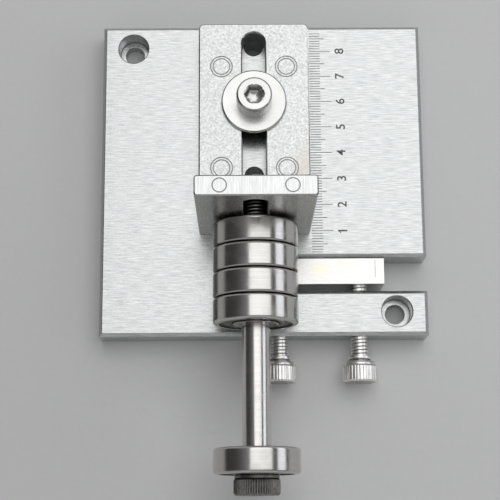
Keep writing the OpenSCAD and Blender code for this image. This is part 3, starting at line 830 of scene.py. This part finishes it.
for side in ("left", "right"):
    low, high = box_of(f"thumb_screw_{side}")
    place = Vector(((low.x + high.x) / 2, low.y + HEAD_REACH, (low.z + high.z) / 2))
    tip = high.y - place.y
    thread_l = tip - POINT_L
    point = [(0, -tip), (1.8, -tip), (2.2, 0.4 - tip), (2.2, -thread_l), (2.3, 0.1 - thread_l),
             (2.3, 0)]
    core = lathe(bmesh.new(), point + THUMB_HEAD, place, FRONT)
    seal(core)
    soften(core, THUMB_EDGE)
    thread_end = place + Vector((0, thread_l, 0))
    thread = threaded(THUMB_R, THUMB_PITCH, thread_l, thread_end, FRONT, THUMB_DEPTH, THUMB_CREST)
    sleeve = knurled(KNURL_R, KNURL_DEPTH, KNURL_TEETH, THUMB_SLEEVE, place, FRONT, KNURL_POWER)
    thumb_screw = make_piece(joined(core, thread, sleeve), f"thumb_screw_{side}_turned", screw_steel,
                             f"thumb_screw_{side}", "stainless", f"thumb_screw_{side}")
    thumb_screw.data.materials.append(bolt_steel)
    for face in thumb_screw.data.polygons:
        if face.normal.dot(Vector(FRONT)) > FACING_FRONT:
            face.material_index = 1

# %% [markdown]
# ## The roller bolt
# The bolt's shoulder is ground bright, because the bearings slide on to it. Its head was blackened
# and knurled, and has a hexagon socket in its end. The two finishes are two pieces, and behind the
# shoulder a third one is the thread that passes through the flange to its nut.

# %% Roller bolt
ring_low, ring_high = box_of("bearing_1_outer_ring")
ROLLER_X, ROLLER_Z = (ring_low.x + ring_high.x) / 2, (ring_low.z + ring_high.z) / 2
SHOULDER_R, SHOULDER_L, SHOULDER_END_R, SHOULDER_CHAMFER = 4.975, 88.02, 4.5, 0.5
BOLT_PITCH, BOLT_R, BOLT_THREAD_L = 1.25, 4.0, 16.64
roller = Vector((ROLLER_X, box_of("roller_bolt")[1].y - BOLT_THREAD_L, ROLLER_Z))
shoulder_outline = [(0, 0), (SHOULDER_END_R, 0), (SHOULDER_R, SHOULDER_CHAMFER),
                    (SHOULDER_R, SHOULDER_L), (0, SHOULDER_L)]

shoulder = lathe(bmesh.new(), shoulder_outline, roller, FRONT)
seal(shoulder)
make_piece(shoulder, "bolt_shoulder", bolt_steel, "roller_bolt", "bolt_steel", "roller_bolt")
thread_end = roller + Vector((0, BOLT_THREAD_L, 0))
thread = threaded(BOLT_R, BOLT_PITCH, BOLT_THREAD_L, thread_end, FRONT)
make_piece(thread, "bolt_thread", black_oxide, "roller_bolt", "bolt_steel")

# %% Roller bolt's head
BOLT_HEAD_R, BOLT_KNURL_DEPTH, BOLT_TEETH = 8.0, 0.35, 56
BOLT_FLATS, BOLT_SOCKET_DEPTH, BOLT_MOUTH_R, BOLT_MOUTH_DEPTH = 5.0, 4.2, 3.1, 0.2
BOLT_HEAD_END, KNURL_START = 95.0, 89.2
HEAD_FACE = BOLT_HEAD_END - 0.02
BOLT_HEAD = [(0, SHOULDER_L), (7.5, SHOULDER_L), (7.7, SHOULDER_L + 0.2), (7.7, KNURL_START),
             (7.2, KNURL_START + 0.2), (7.2, HEAD_FACE), (BOLT_MOUTH_R, HEAD_FACE)]
BOLT_SLEEVE = [(KNURL_START, 7.0), (KNURL_START, 7.3), (89.9, 8.1), (94.3, 8.1),
               (BOLT_HEAD_END, 7.3), (BOLT_HEAD_END, 7.0)]

head = lathe(bmesh.new(), BOLT_HEAD, roller, FRONT)
socket(head, BOLT_FLATS, BOLT_SOCKET_DEPTH, roller + Vector(FRONT) * HEAD_FACE, FRONT,
       BOLT_MOUTH_DEPTH)
seal(head)
sleeve = knurled(BOLT_HEAD_R, BOLT_KNURL_DEPTH, BOLT_TEETH, BOLT_SLEEVE, roller, FRONT, power=1)
make_piece(joined(head, sleeve), "bolt_head", black_oxide, "roller_bolt", "bolt_steel")

# %% [markdown]
# ## Nut, washer and shim
# Behind the flange a washer and a nut hold the bolt, and a thin shim in front of the flange keeps
# the first bearing's outer ring off it. A nut's corners are turned off at 30 degrees, so its
# hexagon is cut finely and each point is lowered by how far it stands out past the flats.

# %% Behind the flange
REAR = (0, 1, 0)
NUT_FLATS, NUT_BORE, NUT_TURNED_R = 13.0, 4.05, 6.4
NUT_SLOPE = math.tan(math.radians(30))
SHIM_BORE, THIN_EDGE = 5.05, 0.12
nut_low, nut_high = box_of("roller_nut")
NUT_H = nut_high.y - nut_low.y
nut_place = Vector((ROLLER_X, nut_low.y, ROLLER_Z))

nut = bmesh.new()
flats_front = hexagon(nut, NUT_FLATS, nut_place, REAR)
flats_rear = push_in(nut, flats_front, -NUT_H, REAR)
bore_points = circle(nut, NUT_BORE, STEPS, nut_place, REAR)
bore_front = list({e for v in bore_points for e in v.link_edges})
bore_rear = push_in(nut, bore_front, -NUT_H, REAR)
bmesh.ops.bridge_loops(nut, edges=flats_front + bore_front)
bmesh.ops.bridge_loops(nut, edges=flats_rear + bore_rear)
for edges, inwards in ((flats_front, 1), (flats_rear, -1)):
    for vert in {v for e in edges for v in e.verts}:
        reach = Vector((vert.co.x / MM - ROLLER_X, vert.co.z / MM - ROLLER_Z)).length
        vert.co.y += inwards * max(0, reach - NUT_TURNED_R) * NUT_SLOPE * MM
seal(nut)
make_piece(nut, "nut", stainless, "roller_nut", "stainless", "roller_nut")

for name, node, body, bore in (("nut_washer", "roller_washer", "roller_nut", NUT_BORE),
                               ("shim", "roller_shim", "roller_shim", SHIM_BORE)):
    low, high = box_of(node)
    place = (ROLLER_X, high.y, ROLLER_Z)
    ring = flat_ring(bore, (high.x - low.x) / 2, high.y - low.y, place, FRONT, THIN_EDGE)
    make_piece(ring, name, stainless, body, "stainless", node)

# %% [markdown]
# ## The ball bearings
# A bearing's rings are ground and polished like mirrors, with round corners and a groove inside for
# the balls. Thin pressed shields close both sides: a rim, a shallow bead and a flat. Each is a
# closed outline spun once, and one loop makes the same bearing five times.

# %% Bearing outlines
BEARING_W, RING_R, BORE_R, RING_CORNER, BORE_CORNER = 9.0, 15.0, 5.0, 1.1, 0.3
PITCH_R, RACE_R, INNER_LAND, OUTER_LAND, RACE_STEPS = 10.0, 2.46, 8.15, 11.85, 4
SEAT_R, SEAT_DEPTH, SIDE, INNER_SIDE = 12.85, 1.15, 0.05, 0.01
SHIELD = [(12.8, 7.86), (12.8, 8.5), (12.6, 8.64), (12.2, 8.64), (11.9, 8.4), (11.4, 8.4),
          (11.1, 8.58), (9.3, 8.58), (8.8, 8.36), (8.32, 8.36), (8.32, 7.86)]
OTHER_SHIELD = [(radius, BEARING_W - along) for radius, along in SHIELD]


def race(side, land):
    """Points of the ball groove in a land, from the rear to the front of the bearing."""
    half = math.acos(abs(land - PITCH_R) / RACE_R)
    turns = [half * (k / RACE_STEPS - 1) for k in range(2 * RACE_STEPS + 1)]
    return [(PITCH_R + side * RACE_R * math.cos(t), BEARING_W / 2 + RACE_R * math.sin(t)) for t in turns]


OUTER_OUTLINE = [(SEAT_R, SIDE), (RING_R, SIDE), (RING_R, BEARING_W - SIDE),
                 (SEAT_R, BEARING_W - SIDE), (SEAT_R, BEARING_W - SEAT_DEPTH),
                 (OUTER_LAND, BEARING_W - SEAT_DEPTH), *reversed(race(1, OUTER_LAND)),
                 (OUTER_LAND, SEAT_DEPTH), (SEAT_R, SEAT_DEPTH)]
INNER_OUTLINE = [(BORE_R, INNER_SIDE), (INNER_LAND, INNER_SIDE), *race(-1, INNER_LAND),
                 (INNER_LAND, BEARING_W - INNER_SIDE), (BORE_R, BEARING_W - INNER_SIDE)]
print("bearing outlines have", len(OUTER_OUTLINE), "and", len(INNER_OUTLINE), "points")

# %% Bearings
BEARINGS = range(1, 6)
RIM_WITHIN = 0.1


def outside(edge):
    """Whether an edge is on the outer ring's running surface."""
    middle = (edge.verts[0].co + edge.verts[1].co) / 2 / MM
    return Vector((middle.x - ROLLER_X, middle.z - ROLLER_Z)).length > RING_R - RIM_WITHIN


for i in BEARINGS:
    place = (ROLLER_X, box_of(f"bearing_{i}_outer_ring")[1].y + SIDE, ROLLER_Z)
    outer = lathe(bmesh.new(), OUTER_OUTLINE, place, FRONT, closed=True)
    seal(outer)
    soften(outer, RING_CORNER, segments=5, angle=60, keep=outside)
    make_piece(outer, f"bearing_{i}_running_ring", chrome_steel, f"bearing_{i}", "chrome_steel",
               f"bearing_{i}_outer_ring")
    inner = lathe(bmesh.new(), INNER_OUTLINE, place, FRONT, closed=True)
    seal(inner)
    soften(inner, BORE_CORNER, angle=60)
    make_piece(inner, f"bearing_{i}_seat_ring", chrome_steel, "roller_bolt", "chrome_steel",
               f"bearing_{i}_inner_ring")
    shields = lathe(bmesh.new(), SHIELD, place, FRONT, closed=True)
    lathe(shields, OTHER_SHIELD, place, FRONT, closed=True)
    seal(shields)
    make_piece(shields, f"bearing_{i}_pressed_shields", shield_steel, f"bearing_{i}", "shield_steel",
               f"bearing_{i}_shields")

# %% [markdown]
# ## Solids that stay
# The blade is a flat ground plate, and balls and cages hide behind the shields. Their solids are
# right as they are, so they only take a finish in their material slots.

# %% Finishes on the solids that stay
stay = {"blade": blade_steel}
for i in BEARINGS:
    stay[f"bearing_{i}_balls"] = ball_steel
    stay[f"bearing_{i}_cage"] = cage_steel
for node, finish in stay.items():
    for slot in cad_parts[node].material_slots:
        slot.material = finish
print("solids that stay:", len(stay))

# %% [markdown]
# ## The table
# The table is a plain pale board, far larger than the cutter, so that its edges are never seen and
# its grey meets the metal's reflections on all sides. It lies a hair below the plate's underside,
# because two faces in one place would flicker.

# %% Table
TABLE_HALF = 4.0
TABLE_DROP = 0.05
TABLE_GREYS = (0.70, 0.70, 0.70), (0.74, 0.74, 0.74)

table_paint, table_shader = new_finish("table_paint", (0.72, 0.72, 0.72), 0.7, metal=0.0)
fibre = grain(table_paint, (2, 2, 2), detail=4.0)
table_colour = blend_colours(table_paint, fibre, *TABLE_GREYS)
wire(table_paint, table_colour, table_shader.inputs["Base Color"])
board = bmesh.new()
bmesh.ops.create_grid(board, x_segments=1, y_segments=1, size=TABLE_HALF,
                      matrix=Matrix.Translation((0, 0, -TABLE_DROP * MM)))
table_mesh = bpy.data.meshes.new("table")
board.to_mesh(table_mesh)
board.free()
table_mesh.materials.append(table_paint)
table_top = new_object("table", table_mesh)
print("table width in m:", 2 * TABLE_HALF)

# %% [markdown]
# ## The lamps
# One large soft light hangs above the table, a little to the right and behind, and draws the white
# band along the roller. A second one stands far to the right and draws the thinner band beside it.
# The front is left almost dark, with only a weak low lamp to lift the front edges. A lamp's power
# grows with its area, so each is given by its radiance, which is how bright it looks in a mirror.

# %% Lamps
def softbox(name, place, turn, width, length, radiance, tint=(1, 1, 1)):
    """A soft area light of the given radiance, turned by degrees about X and Y from looking down."""
    lamp = bpy.data.lights.new(name, "AREA")
    lamp.shape = "RECTANGLE"
    lamp.size = width
    lamp.size_y = length
    lamp.energy = radiance * math.pi * width * length
    lamp.color = tint
    box = new_object(name, lamp)
    box.location = place
    box.rotation_euler = (math.radians(turn[0]), math.radians(turn[1]), 0)
    box.visible_camera = False
    print(name, "lamp has", round(lamp.energy, 2), "W")


softbox("overhead", place=(0.245, 0.365, 1.0), turn=(0, 0), width=1.11, length=0.97, radiance=1.3)
softbox("right", place=(1.14, 0.15, 0.51), turn=(0, 66), width=0.53, length=1.2, radiance=1.4,
        tint=(0.92, 0.94, 1.0))
softbox("front", place=(0.1, -1.2, 0.35), turn=(74, 0), width=1.4, length=0.6, radiance=0.15)

# %% [markdown]
# ## The room
# A dim room fills in the rest. It is brighter above than at its sides, so that flat tops stay light
# while the rings' flanks go dark, and it is brighter at its front and rear ends, which face the
# upright surfaces. The direction's Z and Y give the two parts, and their sum is its strength.

# %% Room
ROOM_AT_SIDES, ROOM_ABOVE, ROOM_STEEPNESS = 0.05, 0.36, 5.0
ROOM_AT_ENDS, ENDS_FROM, ENDS_FULL = 0.36, 0.25, 0.65

room = bpy.data.worlds.new("room")
bpy.context.scene.world = room
room.use_nodes = True
background = room.node_tree.nodes["Background"]
background.inputs["Color"].default_value = (1, 1, 1, 1)
direction = add_node(room, "ShaderNodeTexCoord")
split = add_node(room, "ShaderNodeSeparateXYZ")
wire(room, direction.outputs["Generated"], split.inputs["Vector"])

steep = add_node(room, "ShaderNodeMath", operation="POWER", use_clamp=True)
steep.inputs[1].default_value = ROOM_STEEPNESS
wire(room, split.outputs["Z"], steep.inputs[0])
from_above = spread(room, steep.outputs["Value"], ROOM_AT_SIDES, ROOM_ABOVE, 0, 1)

lengthways = add_node(room, "ShaderNodeMath", operation="ABSOLUTE")
wire(room, split.outputs["Y"], lengthways.inputs[0])
from_ends = spread(room, lengthways.outputs["Value"], 0, ROOM_AT_ENDS, ENDS_FROM, ENDS_FULL,
                   ease="SMOOTHSTEP")

level = add_node(room, "ShaderNodeMath", operation="ADD")
wire(room, from_ends, level.inputs[0])
wire(room, from_above, level.inputs[1])
wire(room, level.outputs["Value"], background.inputs["Strength"])
print("room nodes:", len(room.node_tree.nodes))
